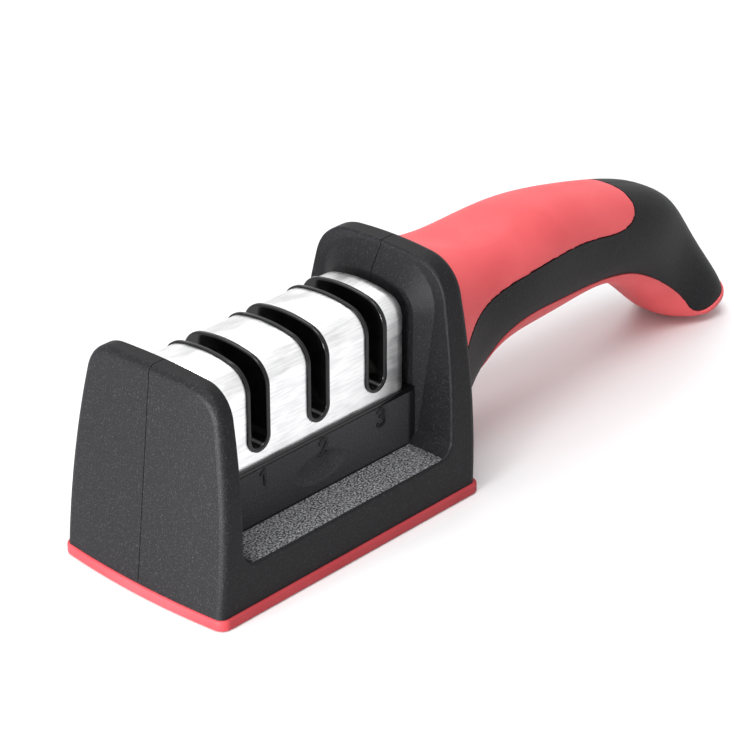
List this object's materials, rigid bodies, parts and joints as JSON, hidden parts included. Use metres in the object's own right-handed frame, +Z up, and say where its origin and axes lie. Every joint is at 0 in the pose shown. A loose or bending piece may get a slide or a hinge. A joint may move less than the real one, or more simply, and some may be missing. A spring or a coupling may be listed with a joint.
{
  "type": "knife sharpener",
  "caption": "Pull-through manual knife sharpener: black shells round a brushed steel cover with knife slots, soft red base pad, curved handle with soft red grips.",
  "frame": {"origin": "centre of the base pad's underside", "axes": "+X back along the handle, +Z up, knives are drawn through along Y"},
  "size_m": [0.2033, 0.0514, 0.059],
  "materials": {
    "charcoal_abs": "fine moulded texture",
    "gloss_black_abs": "polished mould",
    "black_nylon": "as moulded",
    "red_elastomer": "soft satin",
    "brushed_stainless": "brushed lengthways",
    "plated_steel": "zinc plated",
    "ground_steel": "ground",
    "tungsten_carbide": "ground",
    "diamond_grit": "grit bonded to steel",
    "white_ceramic": "fine unglazed ceramic"
  },
  "bodies": {
    "housing": {"left_shell": "charcoal_abs", "right_shell": "charcoal_abs", "base_plate": "charcoal_abs", "base_pad": "red_elastomer", "steel_cover": "brushed_stainless", "cassette_body": "gloss_black_abs", "cassette_tray": "black_nylon", "blade_holder": "black_nylon", "carbide_blade_front": "tungsten_carbide", "carbide_blade_rear": "tungsten_carbide", "blade_screws": "plated_steel", "wheel_axle": "ground_steel", "axle_spacers": "black_nylon", "grip_top_left": "red_elastomer", "grip_top_right": "red_elastomer", "grip_under_left": "red_elastomer", "grip_under_right": "red_elastomer", "base_screws": "plated_steel", "tie_screws": "plated_steel", "cassette_screws": "plated_steel", "locating_pins": "ground_steel"},
    "diamond_wheels": {"diamond_hub": "black_nylon", "diamond_disc_front": "diamond_grit", "diamond_disc_rear": "diamond_grit", "diamond_retainer": "black_nylon"},
    "ceramic_wheels": {"ceramic_hub": "black_nylon", "ceramic_disc_front": "white_ceramic", "ceramic_disc_rear": "white_ceramic", "ceramic_retainer": "black_nylon"}
  },
  "joints": [
    {"name": "diamond_wheel_spin", "type": "hinge", "parent": "housing", "child": "diamond_wheels", "pos_m": [0.0013, 0, 0.0256], "axis": [1, 0, 0], "continuous": true},
    {"name": "ceramic_wheel_spin", "type": "hinge", "parent": "housing", "child": "ceramic_wheels", "pos_m": [0.0201, 0, 0.0256], "axis": [1, 0, 0], "continuous": true}
  ]
}
